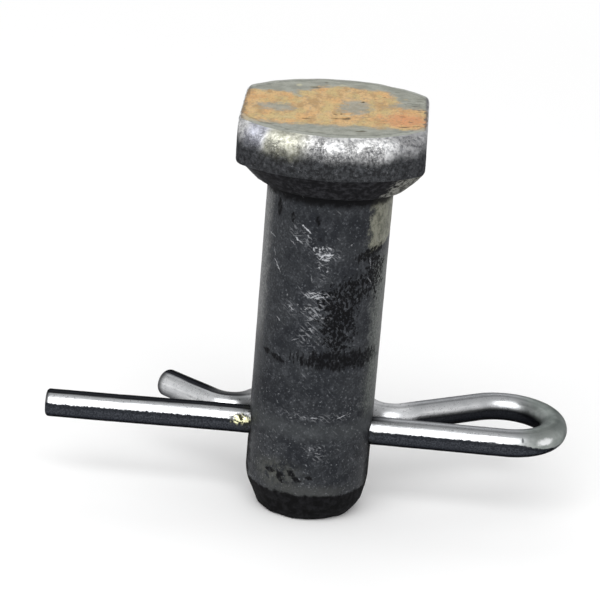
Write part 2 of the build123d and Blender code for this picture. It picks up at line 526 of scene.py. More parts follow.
def pits(points, table):
    """Depth of oval hollows with a raised lip behind each, on the top face."""
    depth = np.zeros(len(points))
    for x, y, length, width, deep in table:
        along_x = ((points[:, 0] - x) / length * 2) ** 2
        hollow = along_x + ((points[:, 1] - y) / width * 2) ** 2
        lip = along_x + ((points[:, 1] - y - 0.7 * width) / width * 2.6) ** 2
        depth += 0.35 * deep * np.exp(-lip) - deep * np.exp(-(hollow**1.5))
    return depth


def pin_relief(points, normals):
    """How far each point of the pin stands out along its normal, in mm. Each zone has its own
    marks: a height times noise, which takes the size of its lumps in mm and a seed."""
    x, z = points[:, 0], points[:, 2]
    head = ramp(z, UNDERSIDE - 0.2, UNDERSIDE + 0.3)
    top = head * ramp(normals[:, 2], 0.75, 0.97)
    upper = ramp(z, HEAD_TOP - 2.9, HEAD_TOP - 1.2)
    flat = ramp(np.abs(normals[:, 0]), 0.97, 0.995)
    rim = head * (1 - top)
    peel = 0.03 * rough(points, 2.6, 11) + 0.014 * noise(points, 0.85, 17)
    worms = 0.028 * creases(points, 0.62, 23) + 0.022 * creases(points, 0.45, 29)
    relief = rim * (1 - 0.75 * flat) * (peel + upper * worms + 0.35 * (1 - upper) * worms)
    drag = points * np.array([0.25, 1.0, 1.0])
    face = 0.02 * rough(points, 1.7, 31) + 0.016 * noise(drag, 0.42, 37) + pits(points, TOP_PITS)
    relief += top * face
    edge = ramp(np.hypot(x, points[:, 1]), HEAD_RADIUS - RIM_ROUND_INSET - 1.1, HEAD_RADIUS - 1.0)
    relief -= top * 0.03 * edge * (1 + noise(points, 1.4, 41))
    nose = 1 - ramp(z, NOSE_LENGTH - 0.7, NOSE_LENGTH + 0.5)
    relief += nose * (0.07 * rough(points, 3.1, 43) + 0.03 * noise(points, 0.8, 47))
    relief += 0.32 * nose * ramp(x, 0.5, 4.5) * ramp(z, 0.1, 1.4) * (1 - ramp(z, 1.6, 3.4))
    collar = ramp(z, SHOULDER - 0.1, SHOULDER + 0.3) * (1 - head)
    relief += collar * (0.05 * rough(points, 1.9, 53) + 0.02 * noise(points, 0.5, 59))
    shank = (1 - nose) * (1 - head) * (1 - collar)
    return relief + shank * (0.009 * rough(points, 2.2, 61) + 0.004 * noise(points, 0.4, 67))


def tilt_matrix():
    """The head's small turn, first about X and then about Y."""
    (cy, sy), (cx, sx) = (heading(angle) for angle in HEAD_TILT)
    turn_y = np.array([[cy, 0, sy], [0, 1, 0], [-sy, 0, cy]])
    turn_x = np.array([[1, 0, 0], [0, cx, -sx], [0, sx, cx]])
    return turn_y @ turn_x


def tilted(points, matrix):
    """Turns what is above the collar by a matrix, easing in over the collar."""
    share = ramp(points[:, 2], TILT_START, TILT_END)[:, None]
    p = points - np.array([0, 0, TILT_START])
    return points + share * (p @ matrix.T - p)


# %% Build the pin


def clevis_pin():
    """The whole pin as one closed surface, with its relief stored for the materials to read."""
    turned, first_row = turned_rings()
    rings = head_rings()
    top = shoot(np.array([0.0, 0.0, 1.0]))
    points, faces, grid = skin(rings + turned, top, (0.0, 0.0, 0.0))
    points, faces = drill(points, faces, grid, len(rings) + first_row)
    points, faces = drop_unused(points, faces)
    normals = point_normals(points, faces)
    in_bore = (np.hypot(points[:, 1], points[:, 2] - HOLE_HEIGHT) < HOLE_RADIUS + 0.3) & (
        np.hypot(points[:, 0], points[:, 1]) < SHANK_RADIUS + 0.1
    )
    relief = np.where(in_bore, 0, pin_relief(points, normals))
    points = tilted(points + normals * relief[:, None], tilt_matrix())
    piece = mesh_object("pin", points, faces)
    kept = piece.data.attributes.new("relief", "FLOAT", "POINT")
    kept.data.foreach_set("value", (relief / RELIEF_UNIT).astype(np.float32))
    return piece


pin = clevis_pin()

# %% [markdown]
# **The spring clip** is one length of drawn wire, bent in a plane. Its centre line is runs and
# arcs that touch: the straight leg, the loop, the climb to the waist, the hug round the shank,
# a second waist and the flared tip. The surface is a circle carried along that line.

# %% Clip centre line
LOOP_RADIUS = 5.1
WAIST_RADIUS = 2.6
HUG_CLEARANCE = 0.1
HUG_RADIUS = SHANK_RADIUS + HUG_CLEARANCE + WIRE_RADIUS
LOOP_SIDE_HUG = 39.8  # degrees
TIP_SIDE_HUG = 33.6
KICK_ANGLE = 39.5
KICK_LENGTH = 7.1
LOOP_CENTRE = LOOP_END - WIRE_RADIUS - LOOP_RADIUS


def arc(centre, radius, start, sweep, step=0.2):
    """Evenly spaced points of an arc, angles in degrees, without its first point."""
    count = max(2, int(abs(math.radians(sweep)) * radius / step))
    angle = np.radians(start + sweep * np.arange(1, count + 1) / count)
    return np.array(centre) + radius * np.stack([np.cos(angle), np.sin(angle)], axis=1)


def run(start, end, step=0.2):
    """Evenly spaced points of a straight run, without its first point."""
    count = max(2, int(math.dist(start, end) / step))
    share = (np.arange(1, count + 1) / count)[:, None]
    return np.array(start) * (1 - share) + np.array(end) * share


def clip_line():
    """The clip's centre line from the straight leg's tip to the flared tip."""
    reach = HUG_RADIUS + WAIST_RADIUS
    near, far = reach * heading(LOOP_SIDE_HUG), reach * heading(180 - TIP_SIDE_HUG)
    across, down = LOOP_CENTRE - near[0], LOOP_RADIUS - near[1]
    slope = math.degrees(math.asin((WAIST_RADIUS + LOOP_RADIUS) / math.hypot(across, down)))
    slope += math.degrees(math.atan2(down, across))
    loop = arc((LOOP_CENTRE, LOOP_RADIUS), LOOP_RADIUS, -90, 180 + slope)
    far_waist = arc(far, WAIST_RADIUS, -TIP_SIDE_HUG, TIP_SIDE_HUG - 90 - KICK_ANGLE)
    pieces = [
        [(LEG_TIP, 0.0)],
        run((LEG_TIP, 0.0), (LOOP_CENTRE, 0.0)),
        loop,
        run(loop[-1], near + WAIST_RADIUS * heading(slope - 90)),
        arc(near, WAIST_RADIUS, slope - 90, LOOP_SIDE_HUG - slope - 90),
        arc((0, 0), HUG_RADIUS, LOOP_SIDE_HUG, 180 - LOOP_SIDE_HUG - TIP_SIDE_HUG),
        far_waist,
        run(far_waist[-1], far_waist[-1] + KICK_LENGTH * heading(180 - KICK_ANGLE)),
    ]
    return np.concatenate(pieces)


# %% Build the clip
WIRE_COLUMNS = 56
END_EASE = 0.38  # tumbled edge of the sheared ends
LEG_SAG = 0.2  # how far the straight leg's tip hangs below the clip's plane
FREE_LEG = -LEG_TIP - SHANK_RADIUS  # length of the straight leg outside the shank
WIRE_LENGTH = float(walk(clip_line())[-1])


def end_cap(ring_radius, steps=9):
    """Radii and setbacks of rings that close a wire's end with an eased edge."""
    angle = np.linspace(0, np.pi / 2, steps)
    radius = ring_radius - END_EASE + END_EASE * np.cos(angle)
    back = END_EASE - END_EASE * np.sin(angle)
    inner = np.linspace(ring_radius - END_EASE, 0, 7)[1:-1]
    return np.concatenate([radius, inner]), np.concatenate([back, 0 * inner])


def spring_clip():
    """A circle carried along the centre line, with eased ends. Stores the wire as if straight."""
    line = clip_line()
    ahead = np.gradient(line, axis=0)
    ahead /= np.linalg.norm(ahead, axis=1, keepdims=True)
    walked = walk(line)
    radii, back = end_cap(WIRE_RADIUS)
    inner = (walked > END_EASE) & (walked < walked[-1] - END_EASE)
    length = np.concatenate([back[::-1], walked[inner], walked[-1] - back])
    radius = np.concatenate([radii[::-1], np.full(inner.sum(), WIRE_RADIUS), radii])
    centre, ahead = along(walked, line, length), along(walked, ahead, length)
    left = np.stack([-ahead[:, 1], ahead[:, 0]], axis=1)
    turn = -np.arange(WIRE_COLUMNS) * 2 * np.pi / WIRE_COLUMNS
    level, rise = radius[:, None] * np.cos(turn), radius[:, None] * np.sin(turn)
    plane = HOLE_HEIGHT - LEG_SAG * ramp(FREE_LEG - length, 0, FREE_LEG)
    flat = centre[:, None, :] + left[:, None, :] * level[..., None]
    rings = list(np.concatenate([flat, (plane[:, None] + rise)[..., None]], axis=-1))
    top, bottom = (*line[0], HOLE_HEIGHT - LEG_SAG), (*line[-1], HOLE_HEIGHT)
    points, faces, _ = skin(rings, top, bottom)
    straight = np.stack([np.broadcast_to(length[:, None], level.shape), level, rise], axis=-1)
    straight = np.concatenate([[[0, 0, 0]], straight.reshape(-1, 3), [[walked[-1], 0, 0]]])
    normals = point_normals(points, faces)
    drawn = straight * np.array([0.06, 1.0, 1.0])
    relief = 0.007 * noise(drawn, 0.5, 71)
    relief += 0.012 * noise(straight, 2.4, 73) + 0.005 * noise(straight, 0.5, 79)
    piece = mesh_object("clip", points + normals * relief[:, None], faces)
    kept = piece.data.attributes.new("straight", "FLOAT_VECTOR", "POINT")
    kept.data.foreach_set("vector", (straight * MM).astype(np.float32).ravel())
    return piece


clip = spring_clip()

# %% [markdown]
# **Finishes** are node trees. The helpers below keep them readable. A socket is wrapped as a
# signal, so that sums of patterns are written as sums, and every helper adds its node to the
# tree that is open. Effects that more than one finish uses become groups, with named sockets.

# %% Node helpers
ORIGIN = (0, 0, 0)
open_tree = None  # the node tree that the helpers add to


class Signal:
    """What a node puts out, fit for sums. Each sum adds one Math node to the open tree."""

    def __init__(self, socket):
        self.socket = socket

    def __add__(self, other):
        return calc("ADD", self, other)

    def __sub__(self, other):
        return calc("SUBTRACT", self, other)

    def __rsub__(self, other):
        return calc("SUBTRACT", other, self)

    def __mul__(self, other):
        return calc("MULTIPLY", self, other)

    def __truediv__(self, other):
        return calc("DIVIDE", self, other)

    def __abs__(self):
        return calc("ABSOLUTE", self)

    __radd__, __rmul__ = __add__, __mul__


def work_on(tree):
    """Opens a node tree for the helpers."""
    global open_tree
    open_tree = tree
    return tree


def fill(socket, value):
    """Links a signal to an input, or sets the input's own value."""
    if isinstance(value, Signal):
        open_tree.links.new(value.socket, socket)
    else:
        socket.default_value = value


def put(kind, inputs=None, output=0, **settings):
    """Adds a shader node, sets its properties, fills its inputs and gives one of its outputs."""
    node = open_tree.nodes.new("ShaderNode" + kind)
    for name, value in settings.items():
        setattr(node, name, value)
    for name, value in (inputs or {}).items():
        fill(node.inputs[name], value)
    return Signal(node.outputs[output])


def calc(operation, a, b=0.0):
    """One step of arithmetic."""
    return put("Math", {0: a, 1: b}, operation=operation)


def most(total, *signals):
    """The largest of several signals at each point."""
    for signal in signals:
        total = calc("MAXIMUM", total, signal)
    return total


def clamped(signal):
    """Keeps the last sum between 0 and 1."""
    signal.socket.node.use_clamp = True
    return signal


def vector(operation, a, b=ORIGIN):
    """One step of vector arithmetic. A length or a dot product comes out as one number."""
    output = "Value" if operation in ("LENGTH", "DOT_PRODUCT") else "Vector"
    return put("VectorMath", {0: a, 1: b}, output, operation=operation)


def scaled(place, factors):
    """A vector times three factors, which stretches a pattern read from it."""
    return vector("MULTIPLY", place, factors)


def split(place):
    """The three parts of a vector."""
    parts = put("SeparateXYZ", {0: place}).socket.node.outputs
    return [Signal(part) for part in parts]


def joined(x, y, z=0.0):
    """A vector from its parts."""
    return put("CombineXYZ", {0: x, 1: y, 2: z})


def mapped(value, low, high, first=0.0, last=1.0, ease="SMOOTHSTEP"):
    """First up to low, last from high on, and an eased way between them."""
    inputs = {"Value": value, "From Min": low, "From Max": high, "To Min": first, "To Max": last}
    return put("MapRange", inputs, interpolation_type=ease)


def step(value, start, end):
    """0 before start and 1 after end. start may be the larger, which turns it over."""
    return mapped(value, start, end) if start < end else mapped(value, end, start, 1.0, 0.0)


def band_pass(value, start, full, last, end):
    """0 before start, 1 from full to last, and 0 again after end."""
    return step(value, start, full) * step(value, end, last)


def speckled(place, scale, detail=2.0, roughness=0.5):
    """Plain noise from about 0.3 to 0.7, read at a vector, with scale in lumps per unit."""
    inputs = {"Vector": place, "Scale": scale, "Detail": detail, "Roughness": roughness}
    return put("TexNoise", inputs, "Fac")


def linear(colour):
    """A colour as a display shows it, from 0 to 255, as the linear light that a node wants."""
    if isinstance(colour, Signal):
        return colour
    shares = [c / 255 for c in colour]
    return (*(c / 12.92 if c <= 0.04045 else ((c + 0.055) / 1.055) ** 2.4 for c in shares), 1.0)


def blend(share, first, second):
    """The first colour where share is 0, the second where it is 1."""
    return put("Mix", {0: share, 6: linear(first), 7: linear(second)}, 2, data_type="RGBA")


def coated(colour, *coats):
    """A colour with coats over it, the last on top. Each is its share and its colour."""
    for share, coat in coats:
        colour = blend(share, colour, coat)
    return colour


def object_place():
    """The point on the piece, in metres."""
    return put("TexCoord", output="Object")


def stored(name, output="Fac"):
    """A value kept on the points of the mesh."""
    return put("Attribute", output=output, attribute_name=name)


def new_group(name, inputs, outputs):
    """Opens a fresh node group. Inputs are given with defaults, outputs with their kinds."""
    tree = work_on(bpy.data.node_groups.new(name, "ShaderNodeTree"))
    for title, default in inputs.items():
        kind = "Vector" if isinstance(default, tuple) else "Float"
        socket = tree.interface.new_socket(title, in_out="INPUT", socket_type="NodeSocket" + kind)
        socket.default_value = default
    for title, kind in outputs.items():
        tree.interface.new_socket(title, in_out="OUTPUT", socket_type="NodeSocket" + kind)
    given = tree.nodes.new("NodeGroupInput").outputs
    result = tree.nodes.new("NodeGroupOutput").inputs
    return tree, [Signal(given[title]) for title in inputs], result


def use(group, **inputs):
    """Places a group and gives its outputs, or its only one. _ stands for a space in a name."""
    node = open_tree.nodes.new("ShaderNodeGroup")
    node.node_tree = group
    for name, value in inputs.items():
        fill(node.inputs[name.replace("_", " ")], value)
    outputs = [Signal(socket) for socket in node.outputs]
    return outputs if len(outputs) > 1 else outputs[0]


# %% [markdown]
# **Unrolled steel.** Scuffs and bands on the shank sit at known places, so they are laid out as
# on a label peeled off it: so many millimetres round from the front, so many up from the nose.
# The first group turns a point into that label's coordinates. The second is a patch with a
# soft edge, at a place and a size on the label, which grain can fill. The third is one scratch.

# %% Groups for places
TAPER = 0.65  # how much narrower a scratch is at its ends than in its middle


def unrolled_group():
    """Round: arc length from the front, positive towards +X. Up: height. Both in mm."""
    outputs = {"Place": "Vector", "Radius": "Float", "Height": "Float"}
    tree, (coordinate,), result = new_group("Unrolled Pin", {"Coordinate": ORIGIN}, outputs)
    x, y, z = split(coordinate)
    around = calc("ARCTAN2", x, y * -1.0) * SHANK_RADIUS
    height = z * (1 / MM)
    fill(result["Place"], joined(around, height))
    fill(result["Radius"], vector("LENGTH", joined(x, y)) * (1 / MM))
    fill(result["Height"], height)
    return tree


def patch_group():
    """1 inside an oval and 0 outside it. The distance from its centre, counted in half sizes
    along both of its axes, passes through a soft step. Shake makes the outline ragged."""
    inputs = {"Place": ORIGIN, "Centre": ORIGIN, "Long Axis": (1, 0, 0), "Short Axis": (0, 1, 0)}
    inputs.update({"Softness": 0.4, "Shake": 0.0})
    tree, given, result = new_group("Patch", inputs, {"Mask": "Float"})
    place, centre, long_axis, short_axis, softness, shake = given
    offset = vector("SUBTRACT", place, centre)
    long, short = (vector("DOT_PRODUCT", offset, axis) for axis in (long_axis, short_axis))
    distance = calc("SQRT", long * long + short * short) + shake
    fill(result["Mask"], mapped(distance, 1.0 - softness, softness + 1.0, 1.0, 0.0))
    return tree


def scratch_group():
    """1 on a straight scratch and 0 beside it. Share is how far along it the nearest point
    lies. The distance to that point is divided by the width, which tapers at both ends."""
    inputs = {"Place": ORIGIN, "Start": ORIGIN, "Run": (1, 0, 0), "Run per Square": (1, 0, 0)}
    inputs["Width"] = 0.1
    tree, given, result = new_group("Scratch", inputs, {"Mask": "Float"})
    place, start, run, run_per_square, width = given
    offset = vector("SUBTRACT", place, start)
    share = clamped(vector("DOT_PRODUCT", offset, run_per_square) + 0.0)
    nearest = put("VectorMath", {0: run, "Scale": share}, operation="SCALE")
    distance = vector("LENGTH", vector("SUBTRACT", offset, nearest))
    here = (1.0 - abs(share * 2.0 - 1.0) * TAPER) * width
    fill(result["Mask"], most(1.0 - distance / here, 0.0))
    return tree


UNROLLED, PATCH, SCRATCH = unrolled_group(), patch_group(), scratch_group()
print("groups for places:", UNROLLED.name, PATCH.name, SCRATCH.name)


def oval(place, x, y, half_x, half_y, turn=0.0, softness=0.4, shake=0.0):
    """The mask of a patch from its centre, half sizes and turn in degrees."""
    c, s = heading(turn)
    axes = dict(Long_Axis=(c / half_x, s / half_x, 0), Short_Axis=(-s / half_y, c / half_y, 0))
    return use(PATCH, Place=place, Centre=(x, y, 0), Softness=softness, Shake=shake, **axes)


def gathered(place, table, softness, shake):
    """The strongest of many patches at each point."""
    masks = [oval(place, *shape, softness=softness, shake=shake) for *shape, _ in table]
    return most(0.0, *(mask * row[-1] for mask, row in zip(masks, table)))


def scratched(place, table):
    """The strongest of many scratches at each point."""
    masks = []
    for x, y, end_x, end_y, width, strength in table:
        run = Vector((end_x - x, end_y - y, 0))
        given = dict(Start=(x, y, 0), Run=run, Run_per_Square=run / run.length_squared)
        masks.append(use(SCRATCH, Place=place, Width=width, **given) * strength)
    return most(0.0, *masks)


# %% [markdown]
# ** Grain groups.** Two textures make worn steel. Crazing is a net of thin dark lines, which on
# the rim stand partly for scale cracks and partly for painted shade where the peel breaks the
# highlight. Scuffs are short bright strokes, where the steel has rubbed in a tray. Each puts out
# a mask, and the finish decides its colour.

# %% Groups for grain
STROKE_EDGE = 0.07  # how much noise lies between a stroke's edge and its full strength


def crazing_group():
    """Thin lines where a bent noise crosses its middle value. Amount widens them."""
    inputs = {"Coordinate": ORIGIN, "Scale": 1500.0, "Amount": 0.05}
    tree, (place, scale, amount), result = new_group("Crazing", inputs, {"Lines": "Float"})
    inputs = {"Vector": place, "Scale": scale, "Detail": 2.0, "Distortion": 0.8}
    away = abs(put("TexNoise", inputs, "Fac") - 0.5)
    fill(result["Lines"], mapped(away, 0.0, amount, 1.0, 0.0))
    return tree


def scuff_group():
    """Short strokes along one direction: noise stretched along it, then cut high."""
    inputs = {"Place": ORIGIN, "Turn": 0.0, "Scale": 4.0, "Stretch": 5.0, "Cut": 0.6}
    tree, given, result = new_group("Scuffs", inputs, {"Strokes": "Float"})
    place, turn, scale, stretch, cut = given
    x, y, z = split(put("VectorRotate", {"Vector": place, "Angle": turn}, rotation_type="Z_AXIS"))
    field = speckled(joined(x / stretch, y, z), scale, 3.0)
    fill(result["Strokes"], mapped(field, cut, cut + STROKE_EDGE, ease="LINEAR"))
    return tree


CRAZING, SCUFFS = crazing_group(), scuff_group()
print("groups for grain:", CRAZING.name, SCUFFS.name)

# %% [markdown]
# **The rusted top face.** The face under the hammer kept a thin coat of light rust, tan in the
# middle band and redder towards the front right, and the steel shows grey-green in the two
# crescents in front and behind. It is dry and dull.

# %% Material: top face
FACE_GREEN, FACE_GREY = (127, 129, 119), (147, 149, 139)
RUST_DARK, RUST_LIGHT = (170, 140, 98), (201, 168, 121)
RUST_OCHRE, RUST_ORANGE, RUST_RED = (187, 168, 119), (207, 161, 108), (199, 136, 96)
# Patches are x, y, half length and half width in mm, then a turn in degrees if there is one.
RUST_PATCHES = [(0.9, 2.6, 5.3, 5.2), (-7.5, 1.1, 5.4, 3.6), (5.0, -1.0, 5.2, 3.2)]
WORN_PATCHES = [(-6.0, -1.3, 1.8, 1.3), (1.8, 0.2, 1.5, 2.7), (7.4, 1.9, 2.0, 1.2)]
FRONT_EDGE, FRONT_SLOPE = -6.9, 0.05  # y where the band starts, and its slope along x
BACK_EDGE = (1.6, 0.4)  # y over which the band fades out, between the patches
GREY_EDGE, EDGE_LINE = (10.1, 10.5), (9.95, 10.15, 10.2, 10.45)  # radii beside the rim
LEFT_EDGE, RIGHT_EDGE = (-8.8, -9.15), (8.6, 8.9)  # x beside the two flats
RED_PATCH = (6.9, -3.4, 2.3, 2.3)
CRACKED_PATCH = (4.8, -3.0, 6.5, 2.6)
STREAKED_PATCH = (8.4, 2.6, 1.6, 2.6)
FACE_DENTS = [  # the turn in degrees and the strength come last
    (-2.4, 7.0, 0.45, 0.4, -25.0, 0.75), (2.5, 2.5, 0.13, 0.25, 0.0, 1.0),
    (-2.8, -5.0, 0.42, 0.2, 0.0, 0.6), (-0.1, -2.8, 0.2, 0.25, 0.0, 0.6),
    (0.5, -2.6, 0.12, 0.25, 0.0, 0.7), (0.1, -4.2, 0.3, 0.2, 0.0, 0.6),
    (1.0, -4.2, 0.36, 0.32, 5.0, 0.85), (1.9, -3.4, 0.4, 0.15, 12.0, 0.5),
    (-6.1, -2.0, 0.35, 0.15, 0.0, 0.5), (6.7, -5.7, 0.4, 0.2, 0.0, 0.75),
    (7.9, -5.2, 0.35, 0.2, 0.0, 0.65), (4.7, -4.0, 0.5, 0.14, 0.0, 0.45),
    (7.4, -3.8, 0.25, 0.2, 0.0, 0.5), (6.6, -2.0, 0.3, 0.15, 0.0, 0.45),
    (-1.5, 9.2, 0.15, 0.3, 0.0, 0.45), (4.6, 5.0, 0.15, 0.25, 0.0, 0.55),
    (5.8, 7.1, 0.25, 0.25, 0.0, 0.35), (-8.2, -7.4, 0.3, 0.25, 0.0, 0.7),
    (-6.2, -7.7, 0.5, 0.16, -20.0, 0.6), (-4.7, -9.5, 0.3, 0.14, 0.0, 0.5),
    (-1.6, -9.9, 0.7, 0.2, 6.0, 0.55), (2.6, -8.2, 0.55, 0.2, 4.0, 0.75),
    (1.5, -8.1, 0.5, 0.12, 0.0, 0.4),
]
FACE_LIPS = [
    (1.0, -3.2, 0.45, 0.3, 0.0, 0.45), (-4.2, 7.5, 0.25, 0.4, 0.0, 0.4),
    (0.2, 8.4, 0.35, 0.35, 0.0, 0.3), (-5.0, -5.0, 0.9, 0.3, 0.0, 0.3),
]


def start_material(name):
    """A fresh material, opened for the helpers, its Principled node and the place read by it."""
    material = bpy.data.materials.new(name)
    material.use_nodes = True
    shader = work_on(material.node_tree).nodes["Principled BSDF"]
    return material, shader, object_place()


def finish_surface(shader, colour, roughness, metallic, height=None, depth=0.0, **others):
    """Connects what the patterns say to the shader, with a bump where there is a height."""
    inputs = {"Base Color": linear(colour), "Roughness": roughness, "Metallic": metallic}
    if height is not None:
        inputs["Normal"] = put("Bump", {"Height": height, "Distance": depth, "Strength": 1.0})
    for name, value in {**inputs, **others}.items():
        fill(shader.inputs[name.replace("_", " ")], value)


def rusted_face():
    """Tan rust over grey-green steel, in a band with wandering edges across the two flats."""
    material, shader, place = start_material("rusted_face")
    level = scaled(place, (1 / MM, 1 / MM, 0.0))
    x, y, _ = split(level)
    coarse = speckled(level, 0.55, 4.0, 0.6) - 0.5
    edge_noise = speckled(place, 1300.0, 4.0, 0.7) - 0.5
    shake = edge_noise * 2.5
    wavy = coarse * 3.4 + (edge_noise * 2.2 + y)
    front = step(wavy - (x * FRONT_SLOPE + FRONT_EDGE), -0.7, 0.8)
    rusty = [oval(level, *patch, softness=0.12, shake=coarse) for patch in RUST_PATCHES]
    worn = [oval(level, *patch, shake=shake) for patch in WORN_PATCHES]
    cover = most(*rusty, step(wavy, *BACK_EDGE)) * front * (1.0 - most(*worn) * 0.85)
    even = scaled(place, (1.2, 0.6, 1.0))
    gaps = step(speckled(even, 2300.0, 4.0, 0.65), 0.34, 0.48)
    cover = clamped(cover * (gaps * 0.3 + 0.7))
    fine = speckled(even, 3800.0, 4.0, 0.7)
    steel = blend(step(speckled(place, 700.0, 4.0, 0.6), 0.36, 0.64), FACE_GREEN, FACE_GREY)
    steel = blend(step(fine, 0.48, 0.34) * 0.3, steel, (108, 113, 110))
    cloudy = step(speckled(even, 900.0, 4.0, 0.65), 0.4, 0.6)
    tan = coated(
        blend(cloudy, RUST_DARK, RUST_LIGHT),
        (step(speckled(even, 540.0, 3.0), 0.46, 0.6) * 0.7, RUST_OCHRE),
        (step(speckled(even, 400.0, 3.0), 0.5, 0.62) * 0.5, RUST_ORANGE),
        (oval(level, *RED_PATCH, softness=0.6, shake=shake) * 0.75, RUST_RED),
        (step(fine, 0.5, 0.34) * 0.5, (140, 113, 78)),
    )
    strokes = speckled(scaled(place, (0.4, 1, 1)), 3000.0, 3.0, 0.6)
    cracked = oval(level, *CRACKED_PATCH, shake=shake) * 0.35 + 0.15
    cracks = step(strokes, 0.62, 0.7) * cracked
    streaks = step(strokes, 0.5, 0.62) * (oval(level, *STREAKED_PATCH, shake=shake) * 0.7)
    radius = edge_noise * 1.3 + use(UNROLLED, Coordinate=place)[1]
    beside = edge_noise * 1.2 + x
    edge_line = band_pass(radius, *EDGE_LINE)
    colour = coated(
        blend(cover, steel, tan),
        (most(cracks, streaks), (70, 62, 50)),
        (step(stored("relief"), -0.3, -1.0) * 0.6, (104, 94, 66)),
        (gathered(level, FACE_LIPS, 0.6, shake), (206, 198, 160)),
        (gathered(level, FACE_DENTS, 0.5, shake), (64, 58, 42)),
        (step(radius, *GREY_EDGE) * 0.55, (150, 153, 146)),
        (edge_line * 0.35, (74, 76, 74)),
        (step(beside, *LEFT_EDGE) * 0.6, (74, 74, 72)),
        (step(beside, *RIGHT_EDGE) * 0.85, (70, 71, 76)),
    )
    heights = fine - cracks * 0.8
    dull = cover * 0.2 + 0.6
    finish_surface(shader, colour, dull, 0.0, heights, 0.00005, Specular_IOR_Level=0.2)
    return material


# %% [markdown]
# ** The forged rim** is the showiest surface: bright worn peaks over the rounding with a net of
# black lines, fading into dark scale below. The black lines are partly scale crazing and partly
# painted shade where the peel breaks the highlight, and the stored relief adds painted shade in
# the real hollows. The far left has a painted bluish highlight, and the right side is painted
# duller, as shade where the bright band fades.

# %% Material: rim
WORN_HEIGHTS = (40.2, 42.3)  # mm, between which dark scale gives way to bright steel
OLIVE_HEIGHTS = (39.6, 41.2)
OLIVE_SPAN = (-4.2, -3.3, -2.0, -0.8)  # mm round from the front
# The lavender span is a painted bluish highlight.
LAVENDER_SPAN = (-5.4, -4.6, -4.0, -3.4)
DULL_FROM, DROOP_FROM = (2.4, 4.2), (2.0, 5.2)  # painted shade: the right side is duller, with less of the bright band
SCALE_DARK, SCALE_LIGHT = (48, 49, 51), (84, 86, 89)
BRIGHT_DARK, BRIGHT_LIGHT = (168, 169, 171), (250, 250, 250)


def forged_rim():
    """Worn bright steel above, dark scale below, and black lines of scale and painted shade in the
    creases.
    """
    material, shader, place = start_material("forged_rim")
    around, up, _ = split(use(UNROLLED, Coordinate=place)[0])
    shake = speckled(place, 700.0, 4.0, 0.65) - 0.5
    # the droop on the right is painted shade: less of the bright band where the highlight fades
    ragged = shake * 1.5 + (around * 0.011 + up) - step(around, *DROOP_FROM) * 0.45
    worn = step(ragged, *WORN_HEIGHTS)
    grain = speckled(place, 2600.0, 4.0, 0.65)
    left, far_left = band_pass(around, *OLIVE_SPAN), band_pass(around, *LAVENDER_SPAN)
    scale = blend(step(grain, 0.36, 0.64), SCALE_DARK, SCALE_LIGHT)
    scale = blend(left * step(ragged, *OLIVE_HEIGHTS) * 0.35, scale, (100, 99, 74))
    bright = coated(
        blend(step(grain, 0.34, 0.56), BRIGHT_DARK, BRIGHT_LIGHT),
        (left * 0.45, (216, 215, 176)),
        # painted highlight at the far left, and painted shade on the right side
        (far_left * 0.6, (230, 233, 252)),
        (step(around, *DULL_FROM) * 0.5, (150, 151, 155)),
    )
    # the net of dark lines and the darkened hollows are partly scale crazing and partly painted
    # shade where the peel breaks the highlight
    coarse_net = use(CRAZING, Coordinate=place, Scale=3300.0, Amount=0.05)
    fine_net = use(CRAZING, Coordinate=place, Scale=5600.0, Amount=0.06)
    patchy = speckled(place, 640.0, 2.0) - (ragged - 41.0) * 0.09
    net = most(coarse_net * 0.9, fine_net * 0.75) * step(patchy, 0.34, 0.5)
    hollow = step(stored("relief"), 0.1, -0.5)
    colour = coated(
        blend(worn, scale, bright),
        (most(net, hollow * 0.35) * 0.85, (40, 40, 42)),
        (step(speckled(place, 3300.0, 3.0, 0.6), 0.64, 0.72) * 0.35, (160, 161, 163)),
    )
    shine, tint = 0.56 - worn * 0.12, (0.35, 0.35, 0.36, 1)
    finish_surface(shader, colour, shine, 0.85, grain - net * 0.4, 0.00016, Specular_Tint=tint)
    return material
